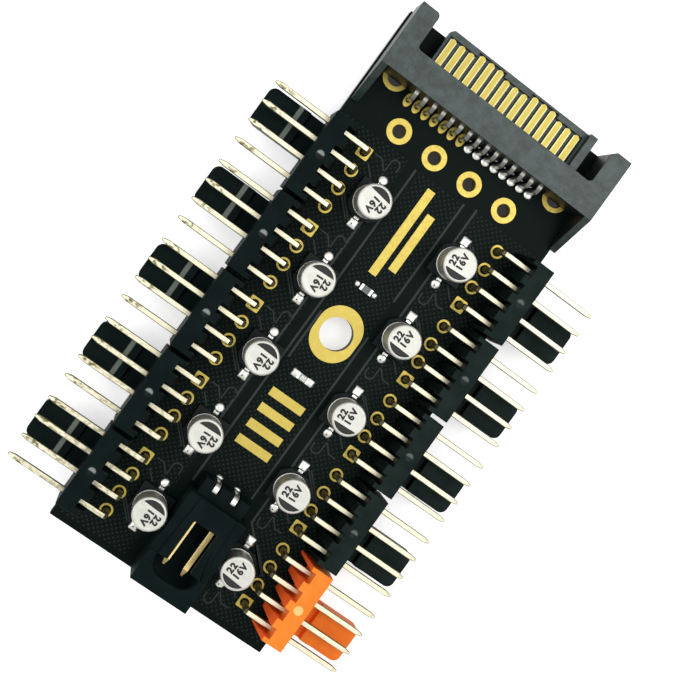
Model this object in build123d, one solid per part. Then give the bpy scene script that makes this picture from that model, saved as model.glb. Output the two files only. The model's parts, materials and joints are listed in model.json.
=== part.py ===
from build123d import *
import math
import os

# PC fan controller hub: a bare circuit board with two rows of five side-entry fan headers, a flat power plug
# at one short edge, a two-pin side-entry header at the other, and a capacitor beside each fan header.
# Millimetres. The origin is the centre of the mounting hole, in the board's top face.
# +Z is the component side, +Y points to the power plug and +X to the right row of fan headers.

# Circuit board
BOARD_WIDTH = 29.4
BOARD_PLUG_EDGE_Y = 34.7
BOARD_TWO_PIN_EDGE_Y = -35.5
BOARD_THICKNESS = 1.6
MOUNT_HOLE_DIAMETER = 4.0
BARE_HOLE_COUNT = 4
BARE_HOLE_SPACING = 5.08
BARE_HOLE_DIAMETER = 1.6
BARE_HOLE_CENTER_X = -0.18
BARE_HOLE_Y = 22.97
LOCATING_HOLE_DIAMETER = 2.1
LOCATING_HOLE_X = 11.65
LOCATING_HOLE_Y = 27.7

# Pins and contacts: a tail below the board, and a bend formed as a few flats
TAIL_LENGTH_BELOW_BOARD = 1.4
BEND_FLATS = 3

# Square pins, used in the fan headers and in the two-pin header
PIN_SIZE = 0.64
PIN_BEND_RADIUS = 0.95
PIN_TIP_LENGTH = 0.8
PIN_TIP_TAPER = 12

# Fan headers, drawn for the right row with the header's centre at Y = 0
HEADERS_PER_ROW = 5
HEADER_GAP = 0.508
FIRST_HEADER_Y = 14.9
FAN_PIN_COUNT = 4
FAN_PIN_SPACING = 2.54
FAN_TAIL_X = 9.7
FAN_PIN_HEIGHT = 3.5
FAN_PIN_TIP_X = 22.5
HOUSING_REAR_X = 13.2
HOUSING_FRONT_X = 15.2
HOUSING_HEIGHT = 6.0
TOOTH_NOTCH_WIDTH = 1.35
TOOTH_SHOULDER_X = 12.5
TOOTH_TIP_X = 11.6
TOOTH_TIP_WIDTH = 0.7
TOOTH_TIP_HEIGHT = 0.4
LOCK_WALL_TIP_X = 22.4
LOCK_WALL_WIDTH = 4.9
LOCK_WALL_CENTER_Y = -1.02
LOCK_WALL_CORNER_RADIUS = 0.9
LOCK_WALL_BOTTOM = 0.3
LOCK_RECESS_HEIGHT = 1.3
LOCK_RECESS_END_X = 16.95
LOCK_RIDGE_START_X = 17.15
LOCK_RIDGE_END_X = 18.05
LOCK_RIDGE_HEIGHT = 2.0
LOCK_RAMP_END_X = 18.6
LOCK_TIP_HEIGHT = 1.8

# Power plug
PLUG_CENTER_X = 0.4
PLUG_WIDTH = 29.8
PLUG_HEIGHT = 5.0
PLUG_REAR_Y = 27.3
PLUG_FACE_Y = 30.75
PLUG_ARM_TIP_Y = 35.3
PLUG_LEFT_ARM_WIDTH = 2.45
PLUG_RIGHT_ARM_WIDTH = 2.6
PLUG_ARM_CORNER = 0.6
PLUG_POCKET_CORNER = 0.5
GUSSET_WIDTH = 0.9
GUSSET_TIP_Y = 22.6
GUSSET_TIP_HEIGHT = 0.4
TONGUE_LEFT_X = -9.95
TONGUE_RIGHT_X = 10.65
TONGUE_BOTTOM = 1.9
TONGUE_TOP = 3.1
TONGUE_CORNER = 0.4
KEY_WIDTH = 1.0
KEY_TOP = 4.3

# Power plug contacts
CONTACT_COUNT = 15
CONTACT_SPACING = 1.27
CONTACT_CENTER_X = -0.18
CONTACT_THICKNESS = 0.4
BLADE_WIDTH = 0.84
BLADE_TIP_CHAMFER = 0.24
BLADE_TIP_Y = 34.45
LONG_BLADE_EXTRA = 0.5
LONG_BLADES = (4, 5, 6, 10, 11, 12)
BLADE_POCKET_END_GAP = 0.05
CONTACT_TAIL_WIDTH = 0.5
CONTACT_TAIL_Y = 26.45
CONTACT_BEND_RADIUS = 0.8

# Two-pin header
TWO_PIN_SPACING = 2.5
TWO_PIN_WIDTH = 7.5
TWO_PIN_HEIGHT = 5.8
TWO_PIN_REAR_Y = -23.4
TWO_PIN_FRONT_Y = -35.2
TWO_PIN_TAIL_Y = -21.7
TWO_PIN_TIP_Y = -32.4
TWO_PIN_PIN_HEIGHT = 3.0
TWO_PIN_SIDE_WALL = 0.8
TWO_PIN_FLOOR = 0.8
TWO_PIN_ROOF = 0.8
TWO_PIN_CAVITY_END_Y = -26.0
WINDOW_SLOT_WIDTH = 3.1
WINDOW_MOUTH_WIDTH = 5.6
WINDOW_MOUTH_REAR_Y = -31.2
WINDOW_MOUTH_FRONT_Y = -33.4
WINDOW_FRONT_RADIUS = 1.8
TWO_PIN_STEP_REAR_WIDTH = 1.4
TWO_PIN_STEP_FRONT_WIDTH = 0.85
TWO_PIN_STEP_DEPTH = 0.25
TAIL_BLOCK_WIDTH = 6.0
TAIL_BLOCK_HEIGHT = 3.9
TAIL_BLOCK_REAR_Y = -21.4
TAIL_SLOT_END_Y = -22.55
TAIL_SLOT_CLEARANCE = 0.15

# Capacitors, drawn for the right column with the positive lead towards +Y.
# The last one in each column stands close beside the two-pin header.
CAP_BEHIND_HEADER = 0.5
CAP_DIAMETER = 4.0
CAP_HEIGHT = 5.4
CAP_BASE_SIZE = 4.3
CAP_BASE_HEIGHT = 1.0
CAP_TO_TWO_PIN_CLEARANCE = 0.1
CAP_BASE_CHAMFER = 0.9
CAP_TOP_EDGE = 0.2
CAP_LEAD_WIDTH = 0.65
CAP_LEAD_THICKNESS = 0.15
CAP_LEAD_REACH = 0.65

# Chip resistor and chip lamp, both along X
CHIP_LENGTH = 1.6
CHIP_WIDTH = 0.8
CHIP_END_LENGTH = 0.35
RESISTOR_X = -0.25
RESISTOR_Y = 6.15
RESISTOR_HEIGHT = 0.45
LAMP_X = -0.2
LAMP_Y = -6.35
LAMP_HEIGHT = 0.6
LAMP_END_HEIGHT = 0.3
LAMP_LENS_TAPER = 20

def in_a_row(count, spacing, center=0):
    """Places of a number of equally spaced things on one axis."""
    return [center + (i - (count - 1) / 2) * spacing for i in range(count)]


TAIL_BOTTOM = -BOARD_THICKNESS - TAIL_LENGTH_BELOW_BOARD
HOUSING_LENGTH = FAN_PIN_COUNT * FAN_PIN_SPACING
HEADER_SPACING = HOUSING_LENGTH + HEADER_GAP
CAP_X = TWO_PIN_WIDTH / 2 + CAP_TO_TWO_PIN_CLEARANCE + CAP_BASE_SIZE / 2
QUARTER_TURN = 90
HALF_TURN = 180
ROWS = (("left", HALF_TURN), ("right", 0))
FAN_PIN_YS = in_a_row(FAN_PIN_COUNT, FAN_PIN_SPACING)
CONTACT_XS = in_a_row(CONTACT_COUNT, CONTACT_SPACING, CONTACT_CENTER_X)
TWO_PIN_XS = in_a_row(2, TWO_PIN_SPACING)


def polygon(*points):
    """A face in the XY plane with straight sides through the points."""
    return make_face(Polyline(*points, close=True))


def rectangle(x0, x1, y0, y1):
    """A face in the XY plane between two X and two Y values."""
    return Pos((x0 + x1) / 2, (y0 + y1) / 2) * Rectangle(x1 - x0, y1 - y0)


def header_places():
    """Each fan header's name and place. The left row is the right row turned by half a turn."""
    for row, turn in ROWS:
        for i in range(HEADERS_PER_ROW):
            center_y = FIRST_HEADER_Y - i * HEADER_SPACING
            yield f"{row}_{i + 1}", Location((0, center_y, 0), (0, 0, turn))


def capacitor_places():
    """Each capacitor's name and place, one beside each fan header."""
    for row, turn in ROWS:
        side = 1 if row == "right" else -1
        for i in range(HEADERS_PER_ROW):
            center_y = FIRST_HEADER_Y - i * HEADER_SPACING - CAP_BEHIND_HEADER
            yield f"{row}_{i + 1}", Location((side * CAP_X, center_y, 0), (0, 0, turn))


def circuit_board():
    """The board, with round holes and a close square hole round each soldered tail."""
    half_width = BOARD_WIDTH / 2
    outline = rectangle(-half_width, half_width, BOARD_TWO_PIN_EDGE_Y, BOARD_PLUG_EDGE_Y)
    holes = [Circle(MOUNT_HOLE_DIAMETER / 2)]
    for spot in GridLocations(BARE_HOLE_SPACING, 0, BARE_HOLE_COUNT, 1):
        holes.append(Pos(BARE_HOLE_CENTER_X, BARE_HOLE_Y) * spot * Circle(BARE_HOLE_DIAMETER / 2))
    for side in (-1, 1):
        holes.append(Pos(side * LOCATING_HOLE_X, LOCATING_HOLE_Y) * Circle(LOCATING_HOLE_DIAMETER / 2))
    for _, place in header_places():
        for y in FAN_PIN_YS:
            holes.append(place * Pos(FAN_TAIL_X, y) * Rectangle(PIN_SIZE, PIN_SIZE))
    for x in CONTACT_XS:
        holes.append(Pos(x, CONTACT_TAIL_Y) * Rectangle(CONTACT_TAIL_WIDTH, CONTACT_THICKNESS))
    for x in TWO_PIN_XS:
        holes.append(Pos(x, TWO_PIN_TAIL_Y) * Rectangle(PIN_SIZE, PIN_SIZE))
    return extrude(outline - holes, amount=-BOARD_THICKNESS)


def bend_points(corner_x, corner_y, radius):
    """Points round the outside of a right-angled bend, from its level leg down to its upright leg."""
    points = []
    for i in range(BEND_FLATS + 1):
        angle = math.radians(QUARTER_TURN * i / BEND_FLATS)
        x = corner_x + radius * (1 - math.sin(angle))
        y = corner_y - radius * (1 - math.cos(angle))
        points.append((x, y))
    return points


def bent_pin(reach, height):
    """A square pin: a tail through the board at the local origin, a bend, and a level leg along +X."""
    half = PIN_SIZE / 2
    shoulder = reach - PIN_TIP_LENGTH
    side = polygon(
        (-half, TAIL_BOTTOM),
        (half, TAIL_BOTTOM),
        (half, height - half),
        (shoulder, height - half),
        (shoulder, height + half),
        *bend_points(-half, height + half, PIN_BEND_RADIUS),
    )
    leg = extrude(Plane.XZ * side, amount=half, both=True)
    tip = extrude(Rectangle(PIN_SIZE, PIN_SIZE), amount=PIN_TIP_LENGTH, taper=PIN_TIP_TAPER)
    return leg + Location((shoulder, 0, height), (0, QUARTER_TURN, 0)) * tip


def fan_header_pins():
    """The four pins of one fan header."""
    pin = bent_pin(FAN_PIN_TIP_X - FAN_TAIL_X, FAN_PIN_HEIGHT)
    return [Pos(FAN_TAIL_X, y, 0) * pin for y in FAN_PIN_YS]


def fan_header_teeth():
    """The ribs behind the block, on both sides of every pin: level with its top, then sloping down."""
    half_root = (FAN_PIN_SPACING - TOOTH_NOTCH_WIDTH) / 2
    half_tip = TOOTH_TIP_WIDTH / 2
    plan = polygon(
        (HOUSING_REAR_X, -half_root),
        (HOUSING_REAR_X, half_root),
        (TOOTH_SHOULDER_X, half_root),
        (TOOTH_TIP_X, half_tip),
        (TOOTH_TIP_X, -half_tip),
        (TOOTH_SHOULDER_X, -half_root),
    )
    side = polygon(
        (HOUSING_REAR_X, 0),
        (TOOTH_TIP_X, 0),
        (TOOTH_TIP_X, TOOTH_TIP_HEIGHT),
        (TOOTH_SHOULDER_X, HOUSING_HEIGHT),
        (HOUSING_REAR_X, HOUSING_HEIGHT),
    )
    limits = extrude(Plane.XZ * side, amount=HOUSING_LENGTH / 2, both=True)
    spots = GridLocations(0, FAN_PIN_SPACING, 1, FAN_PIN_COUNT + 1)
    return [extrude(spot * plan, amount=HOUSING_HEIGHT) & limits for spot in spots]


def fan_header_lock_wall():
    """The friction lock below the pins: a flat wall with a ridge across it, ramped on its outer side."""
    side = polygon(
        (HOUSING_FRONT_X, LOCK_WALL_BOTTOM),
        (LOCK_WALL_TIP_X, LOCK_WALL_BOTTOM),
        (LOCK_WALL_TIP_X, LOCK_TIP_HEIGHT),
        (LOCK_RAMP_END_X, LOCK_TIP_HEIGHT),
        (LOCK_RIDGE_END_X, LOCK_RIDGE_HEIGHT),
        (LOCK_RIDGE_START_X, LOCK_RIDGE_HEIGHT),
        (LOCK_RECESS_END_X, LOCK_RECESS_HEIGHT),
        (HOUSING_FRONT_X, LOCK_RECESS_HEIGHT),
    )
    wall = Pos(0, LOCK_WALL_CENTER_Y, 0) * extrude(Plane.XZ * side, amount=LOCK_WALL_WIDTH / 2, both=True)
    outer_corners = wall.edges().filter_by(Axis.Z).group_by(Axis.X)[-1]
    return fillet(outer_corners, LOCK_WALL_CORNER_RADIUS)


def fan_header_housing():
    """One moulded fan header: the block that holds the pins, its ribs and its lock wall."""
    side = rectangle(HOUSING_REAR_X, HOUSING_FRONT_X, 0, HOUSING_HEIGHT)
    block = extrude(Plane.XZ * side, amount=HOUSING_LENGTH / 2, both=True)
    housing = block + fan_header_teeth() + fan_header_lock_wall()
    for y in FAN_PIN_YS:
        passage = Plane((HOUSING_REAR_X, y, FAN_PIN_HEIGHT), z_dir=(1, 0, 0)) * Rectangle(PIN_SIZE, PIN_SIZE)
        housing -= extrude(passage, amount=HOUSING_FRONT_X - HOUSING_REAR_X)
    return housing


def blade_tip_y(number):
    """How far forward a plug contact reaches. Contacts are numbered from 1 at the left."""
    return BLADE_TIP_Y + (LONG_BLADE_EXTRA if number in LONG_BLADES else 0)


def power_plug_body():
    """The plug's body and its two arms, from one plan outline."""
    left = PLUG_CENTER_X - PLUG_WIDTH / 2
    right = PLUG_CENTER_X + PLUG_WIDTH / 2
    left_arm_inner = left + PLUG_LEFT_ARM_WIDTH
    right_arm_inner = right - PLUG_RIGHT_ARM_WIDTH
    plan = polygon(
        (left, PLUG_REAR_Y),
        (right, PLUG_REAR_Y),
        (right, PLUG_ARM_TIP_Y),
        (right_arm_inner, PLUG_ARM_TIP_Y),
        (right_arm_inner, PLUG_FACE_Y),
        (left_arm_inner, PLUG_FACE_Y),
        (left_arm_inner, PLUG_ARM_TIP_Y),
        (left, PLUG_ARM_TIP_Y),
    )
    corners = plan.vertices()
    plan = fillet(corners.sort_by_distance((left_arm_inner, PLUG_ARM_TIP_Y))[0], PLUG_ARM_CORNER)
    corners = plan.vertices()
    plan = chamfer(corners.sort_by_distance((right_arm_inner, PLUG_ARM_TIP_Y))[0], PLUG_ARM_CORNER)
    for x in (left_arm_inner, right_arm_inner):
        corners = plan.vertices()
        plan = fillet(corners.sort_by_distance((x, PLUG_FACE_Y))[0], PLUG_POCKET_CORNER)
    return extrude(plan, amount=PLUG_HEIGHT)


def power_plug_gussets():
    """The two thin side walls that slope from the body's top down to the board."""
    slope = polygon(
        (PLUG_REAR_Y, 0),
        (PLUG_REAR_Y, PLUG_HEIGHT),
        (GUSSET_TIP_Y, GUSSET_TIP_HEIGHT),
        (GUSSET_TIP_Y, 0),
    )
    gusset = extrude(Plane.YZ * slope, amount=GUSSET_WIDTH / 2, both=True)
    offset = (PLUG_WIDTH - GUSSET_WIDTH) / 2
    return [Pos(PLUG_CENTER_X + side * offset, 0, 0) * gusset for side in (-1, 1)]


def power_plug_tongue():
    """The tongue with its raised key at one end, hollowed on top for the contact blades."""
    section = polygon(
        (TONGUE_LEFT_X, TONGUE_BOTTOM),
        (TONGUE_RIGHT_X, TONGUE_BOTTOM),
        (TONGUE_RIGHT_X, KEY_TOP),
        (TONGUE_RIGHT_X - KEY_WIDTH, KEY_TOP),
        (TONGUE_RIGHT_X - KEY_WIDTH, TONGUE_TOP),
        (TONGUE_LEFT_X, TONGUE_TOP),
    )
    tip_face = Plane.XZ.offset(-PLUG_ARM_TIP_Y)
    tongue = extrude(tip_face * section, amount=PLUG_ARM_TIP_Y - PLUG_FACE_Y)
    upright_edges = tongue.edges().filter_by(Axis.Z)
    front_left = upright_edges.sort_by_distance((TONGUE_LEFT_X, PLUG_ARM_TIP_Y, TONGUE_TOP))[0]
    tongue = chamfer(front_left, TONGUE_CORNER)
    pockets = []
    for number, x in enumerate(CONTACT_XS, start=1):
        end_y = blade_tip_y(number) + BLADE_POCKET_END_GAP
        pockets.append(rectangle(x - CONTACT_SPACING / 2, x + CONTACT_SPACING / 2, PLUG_FACE_Y, end_y))
    pocket = Sketch() + pockets
    return tongue - extrude(Pos(0, 0, TONGUE_TOP) * pocket, amount=-CONTACT_THICKNESS)


def power_plug_housing():
    """The moulded plug: body, arms, gussets and tongue, with a slot through the body for each contact."""
    housing = power_plug_body() + power_plug_gussets() + power_plug_tongue()
    slot_height = TONGUE_TOP - CONTACT_THICKNESS / 2
    rear_face = Plane((0, PLUG_REAR_Y, slot_height), x_dir=(1, 0, 0), z_dir=(0, 1, 0))
    for x in CONTACT_XS:
        slot = rear_face * Pos(x, 0) * Rectangle(CONTACT_TAIL_WIDTH, CONTACT_THICKNESS)
        housing -= extrude(slot, amount=PLUG_FACE_Y - PLUG_REAR_Y)
    return housing


def power_plug_contact(number, x):
    """One contact: a flat blade on the tongue, a strip through the body, and a tail into the board."""
    tail_rear = CONTACT_TAIL_Y - CONTACT_THICKNESS / 2
    tail_front = CONTACT_TAIL_Y + CONTACT_THICKNESS / 2
    underside = TONGUE_TOP - CONTACT_THICKNESS
    side = polygon(
        (tail_rear, TAIL_BOTTOM),
        (tail_front, TAIL_BOTTOM),
        (tail_front, underside),
        (PLUG_FACE_Y, underside),
        (PLUG_FACE_Y, TONGUE_TOP),
        *bend_points(tail_rear, TONGUE_TOP, CONTACT_BEND_RADIUS),
    )
    strip = extrude(Plane.YZ * side, amount=CONTACT_TAIL_WIDTH / 2, both=True)
    blade_plan = rectangle(-BLADE_WIDTH / 2, BLADE_WIDTH / 2, PLUG_FACE_Y, blade_tip_y(number))
    tip_corners = blade_plan.vertices().group_by(Axis.Y)[-1]
    blade_plan = chamfer(tip_corners, BLADE_TIP_CHAMFER)
    blade = extrude(Pos(0, 0, underside) * blade_plan, amount=CONTACT_THICKNESS)
    return Pos(x, 0, 0) * (strip + blade)


def power_plug_contacts():
    """All the plug's contacts."""
    return [power_plug_contact(number, x) for number, x in enumerate(CONTACT_XS, start=1)]


def two_pin_tail_block():
    """The low block behind the shroud, with a slot for each pin's bend, open to the rear."""
    half_width = TAIL_BLOCK_WIDTH / 2
    slot_half = PIN_SIZE / 2 + TAIL_SLOT_CLEARANCE
    plan = rectangle(-half_width, half_width, TWO_PIN_REAR_Y, TAIL_BLOCK_REAR_Y)
    for x in TWO_PIN_XS:
        plan -= rectangle(x - slot_half, x + slot_half, TAIL_SLOT_END_Y, TAIL_BLOCK_REAR_Y)
    return extrude(plan, amount=TAIL_BLOCK_HEIGHT)


def two_pin_housing():
    """The two-pin header's shroud: open towards the board's edge, with a stepped window in its roof."""
    half_width = TWO_PIN_WIDTH / 2
    inner_half_width = half_width - TWO_PIN_SIDE_WALL
    plan = rectangle(-half_width, half_width, TWO_PIN_FRONT_Y, TWO_PIN_REAR_Y)
    housing = extrude(plan, amount=TWO_PIN_HEIGHT) + two_pin_tail_block()
    for side in (-1, 1):
        step = polygon(
            (side * half_width, TWO_PIN_REAR_Y),
            (side * (half_width - TWO_PIN_STEP_REAR_WIDTH), TWO_PIN_REAR_Y),
            (side * (half_width - TWO_PIN_STEP_FRONT_WIDTH), WINDOW_MOUTH_REAR_Y),
            (side * half_width, WINDOW_MOUTH_REAR_Y),
        )
        housing -= extrude(Pos(0, 0, TWO_PIN_HEIGHT) * step, amount=-TWO_PIN_STEP_DEPTH, dir=(0, 0, 1))
    mouth_plan = rectangle(-inner_half_width, inner_half_width, TWO_PIN_FRONT_Y, TWO_PIN_CAVITY_END_Y)
    cavity_height = TWO_PIN_HEIGHT - TWO_PIN_FLOOR - TWO_PIN_ROOF
    housing -= extrude(Pos(0, 0, TWO_PIN_FLOOR) * mouth_plan, amount=cavity_height)
    slot_half = WINDOW_SLOT_WIDTH / 2
    wide_half = WINDOW_MOUTH_WIDTH / 2
    window = rectangle(-slot_half, slot_half, WINDOW_MOUTH_REAR_Y, TWO_PIN_CAVITY_END_Y)
    wide_window = rectangle(-wide_half, wide_half, WINDOW_MOUTH_FRONT_Y, WINDOW_MOUTH_REAR_Y)
    window += fillet(wide_window.vertices().group_by(Axis.Y)[0], WINDOW_FRONT_RADIUS)
    housing -= extrude(Pos(0, 0, TWO_PIN_HEIGHT) * window, amount=-TWO_PIN_ROOF)
    cavity_end = Plane((0, TWO_PIN_CAVITY_END_Y, TWO_PIN_PIN_HEIGHT), x_dir=(1, 0, 0), z_dir=(0, 1, 0))
    for x in TWO_PIN_XS:
        passage = cavity_end * Pos(x, 0) * Rectangle(PIN_SIZE, PIN_SIZE)
        housing -= extrude(passage, amount=TAIL_SLOT_END_Y - TWO_PIN_CAVITY_END_Y)
    return housing


def two_pin_pins():
    """The two pins of the two-pin header."""
    pin = bent_pin(TWO_PIN_TAIL_Y - TWO_PIN_TIP_Y, TWO_PIN_PIN_HEIGHT)
    return [Location((x, TWO_PIN_TAIL_Y, 0), (0, 0, -QUARTER_TURN)) * pin for x in TWO_PIN_XS]


def capacitor_can():
    """The aluminium can: a turned shape with an eased top edge."""
    radius = CAP_DIAMETER / 2
    section = polygon(
        (0, CAP_BASE_HEIGHT),
        (radius, CAP_BASE_HEIGHT),
        (radius, CAP_HEIGHT - CAP_TOP_EDGE),
        (radius - CAP_TOP_EDGE, CAP_HEIGHT),
        (0, CAP_HEIGHT),
    )
    return revolve(Plane.XZ * section, Axis.Z)


def capacitor_base():
    """The moulded base, with two cut corners at the positive end."""
    plan = Rectangle(CAP_BASE_SIZE, CAP_BASE_SIZE)
    positive_corners = plan.vertices().group_by(Axis.Y)[-1]
    return extrude(chamfer(positive_corners, CAP_BASE_CHAMFER), amount=CAP_BASE_HEIGHT)


def capacitor_leads():
    """The two leads, flat on the board where they come out of the base."""
    offset = (CAP_BASE_SIZE + CAP_LEAD_REACH) / 2
    lead = extrude(Rectangle(CAP_LEAD_WIDTH, CAP_LEAD_REACH), amount=CAP_LEAD_THICKNESS)
    return [Pos(0, offset, 0) * lead, Pos(0, -offset, 0) * lead]


def chip_ends(height):
    """The two metal ends of a chip part centred on the local origin."""
    offset = (CHIP_LENGTH - CHIP_END_LENGTH) / 2
    end = extrude(Rectangle(CHIP_END_LENGTH, CHIP_WIDTH), amount=height)
    return [Pos(-offset, 0, 0) * end, Pos(offset, 0, 0) * end]


def chip_resistor_body():
    """The flat ceramic body between the ends."""
    return extrude(Rectangle(CHIP_LENGTH - 2 * CHIP_END_LENGTH, CHIP_WIDTH), amount=RESISTOR_HEIGHT)


def chip_lamp_body():
    """The lens between the ends, narrower towards its top."""
    length = CHIP_LENGTH - 2 * CHIP_END_LENGTH
    plan = Rectangle(length, CHIP_WIDTH)
    foot = extrude(plan, amount=LAMP_END_HEIGHT)
    lens_height = LAMP_HEIGHT - LAMP_END_HEIGHT
    return foot + extrude(Pos(0, 0, LAMP_END_HEIGHT) * plan, amount=lens_height, taper=LAMP_LENS_TAPER)


def save(name, pieces, place=Location()):
    """Write one node: a piece, or a group of separate pieces, moved to its place."""
    if not isinstance(pieces, list):
        pieces = [pieces]
    solids = [place * solid for piece in pieces for solid in piece.solids()]
    export_step(Compound(solids) if len(solids) > 1 else solids[0], f"parts/{name}.step")


os.makedirs("parts", exist_ok=True)
save("circuit_board", circuit_board())
save("power_plug_housing", power_plug_housing())
save("power_plug_contacts", power_plug_contacts())
save("two_pin_housing", two_pin_housing())
save("two_pin_pins", two_pin_pins())
housing = fan_header_housing()
pins = fan_header_pins()
for name, place in header_places():
    save(f"fan_header_housing_{name}", housing, place)
    save(f"fan_header_pins_{name}", pins, place)
can = capacitor_can()
base = capacitor_base()
leads = capacitor_leads()
for name, place in capacitor_places():
    save(f"capacitor_can_{name}", can, place)
    save(f"capacitor_base_{name}", base, place)
    save(f"capacitor_leads_{name}", leads, place)
resistor_place = Location((RESISTOR_X, RESISTOR_Y, 0))
save("chip_resistor_body", chip_resistor_body(), resistor_place)
save("chip_resistor_ends", chip_ends(RESISTOR_HEIGHT), resistor_place)
lamp_place = Location((LAMP_X, LAMP_Y, 0))
save("chip_lamp_body", chip_lamp_body(), lamp_place)
save("chip_lamp_ends", chip_ends(LAMP_END_HEIGHT), lamp_place)
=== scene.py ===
import json
import math

import bmesh
import bpy
from mathutils import Matrix, Vector


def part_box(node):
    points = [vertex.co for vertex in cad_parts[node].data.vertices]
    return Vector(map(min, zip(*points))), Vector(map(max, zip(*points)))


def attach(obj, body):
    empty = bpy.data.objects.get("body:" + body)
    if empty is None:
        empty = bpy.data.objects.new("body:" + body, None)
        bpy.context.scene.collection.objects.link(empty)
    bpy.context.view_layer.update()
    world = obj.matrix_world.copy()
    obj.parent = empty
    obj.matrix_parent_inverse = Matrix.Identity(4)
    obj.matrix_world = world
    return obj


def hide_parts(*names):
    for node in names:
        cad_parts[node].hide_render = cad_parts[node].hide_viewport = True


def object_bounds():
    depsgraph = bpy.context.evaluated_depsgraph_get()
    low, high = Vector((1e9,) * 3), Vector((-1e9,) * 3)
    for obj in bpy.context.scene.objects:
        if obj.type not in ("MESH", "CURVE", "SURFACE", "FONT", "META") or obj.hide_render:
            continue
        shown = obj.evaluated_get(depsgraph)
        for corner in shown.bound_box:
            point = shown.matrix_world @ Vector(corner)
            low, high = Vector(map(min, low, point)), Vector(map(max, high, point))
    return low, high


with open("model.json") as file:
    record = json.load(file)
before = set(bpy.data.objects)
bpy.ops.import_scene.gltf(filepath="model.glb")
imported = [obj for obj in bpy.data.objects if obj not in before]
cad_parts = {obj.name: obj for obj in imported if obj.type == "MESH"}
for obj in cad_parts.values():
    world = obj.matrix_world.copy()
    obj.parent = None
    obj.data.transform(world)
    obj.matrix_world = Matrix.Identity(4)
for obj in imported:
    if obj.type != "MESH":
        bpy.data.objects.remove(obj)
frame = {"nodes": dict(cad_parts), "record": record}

# The dressed fan controller hub. Sizes below are millimetres in the part's own frame:
# the origin is the mounting hole's centre in the board's top face, +Z is the component side.
MM = 0.001
cad_low, cad_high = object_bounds()

BOARD_TOP = 0.0
BOARD_BOTTOM = -1.6
PIN_HALF = 0.32
FAN_PIN_OFFSETS = (-3.81, -1.27, 1.27, 3.81)
HEADER_TOP = 6.0
ROWS = ("left", "right")
HEADERS_PER_ROW = 5
HEADER_PLACES = [(row, i) for row in ROWS for i in range(1, HEADERS_PER_ROW + 1)]
PLUG_MIDDLE_X = -0.18
CONTACT_COUNT = 15
CONTACT_PITCH = 1.27
CONTACT_XS = [PLUG_MIDDLE_X + (i - CONTACT_COUNT // 2) * CONTACT_PITCH for i in range(CONTACT_COUNT)]
CONTACT_TAIL_Y = 26.45
TWO_PIN_PITCH = 2.5
TWO_PIN_XS = (-TWO_PIN_PITCH / 2, TWO_PIN_PITCH / 2)
TWO_PIN_TAIL_Y = -21.7
BARE_HOLE_PITCH = 5.08
BARE_HOLE_XS = [PLUG_MIDDLE_X + (i - 1.5) * BARE_HOLE_PITCH for i in range(4)]
BARE_HOLE_Y = 22.97
BARE_HOLE_RADIUS = 0.8
LOCATING_XS = (-11.65, 11.65)
LOCATING_Y = 27.7
LOCATING_RADIUS = 1.05
MOUNT_RADIUS = 2.0
CAP_RADIUS = 2.0
CAP_BASE_TOP = 1.0
CAP_TOP = 5.4
SQUARE_PAD_OFFSET = 3.0
ROUND_PAD_OFFSET = 2.95
CAP_PAD_HALF = 0.6

# Thickness of plated metal, how far a raised form reaches into the face that it sits on, and the number of
# points on a full circle
PLATING = 0.035
SUNK = 0.02
ROUND = 40


class Nodes:
    """A material's node tree, with one short call for each kind of node that is used here."""

    def __init__(self, name):
        self.material = bpy.data.materials.new(name)
        self.material.use_nodes = True
        self.tree = self.material.node_tree
        self.shader = self.tree.nodes["Principled BSDF"]

    def node(self, kind, inputs, output=0, **settings):
        made = self.tree.nodes.new(kind)
        for name, value in settings.items():
            setattr(made, name, value)
        for key, value in inputs.items():
            self.put(made.inputs[key], value)
        return made.outputs[output]

    def put(self, socket, value):
        if isinstance(value, bpy.types.NodeSocket):
            self.tree.links.new(value, socket)
        else:
            socket.default_value = value

    def set(self, **inputs):
        for name, value in inputs.items():
            self.put(self.shader.inputs[name.replace("_", " ")], value)

    def millimetres(self):
        """The object's own coordinates, in millimetres."""
        spot = self.tree.nodes.new("ShaderNodeTexCoord").outputs["Object"]
        return self.node("ShaderNodeVectorMath", {0: spot, 3: 1 / MM}, operation="SCALE")

    def axes(self, spot):
        """The three parts of a vector."""
        made = self.tree.nodes.new("ShaderNodeSeparateXYZ")
        self.put(made.inputs[0], spot)
        return made.outputs

    def facing(self):
        """The three parts of the surface's own direction."""
        return self.axes(self.tree.nodes.new("ShaderNodeTexCoord").outputs["Normal"])

    def math(self, operation, *values):
        return self.node("ShaderNodeMath", dict(enumerate(values)), operation=operation)

    def noise(self, spot, scale, detail=2.0, roughness=0.5):
        inputs = {"Vector": spot, "Scale": scale, "Detail": detail, "Roughness": roughness}
        return self.node("ShaderNodeTexNoise", inputs)

    def span(self, value, low, high, to_low=0.0, to_high=1.0):
        """A value brought from one range to another, with soft ends."""
        inputs = {0: value, 1: low, 2: high, 3: to_low, 4: to_high}
        return self.node("ShaderNodeMapRange", inputs, interpolation_type="SMOOTHSTEP")

    def mix(self, factor, a, b):
        inputs = {0: factor, 6: (*a, 1.0) if isinstance(a, tuple) else a}
        inputs[7] = (*b, 1.0) if isinstance(b, tuple) else b
        return self.node("ShaderNodeMix", inputs, output=2, data_type="RGBA")

    def stretch(self, spot, x, y, z):
        return self.node("ShaderNodeVectorMath", {0: spot, 1: (x, y, z)}, operation="MULTIPLY")

    def bump(self, height, distance, strength=1.0, below=None):
        inputs = {"Height": height, "Distance": distance * MM, "Strength": strength}
        if below is not None:
            inputs["Normal"] = below
        return self.node("ShaderNodeBump", inputs)


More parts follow.
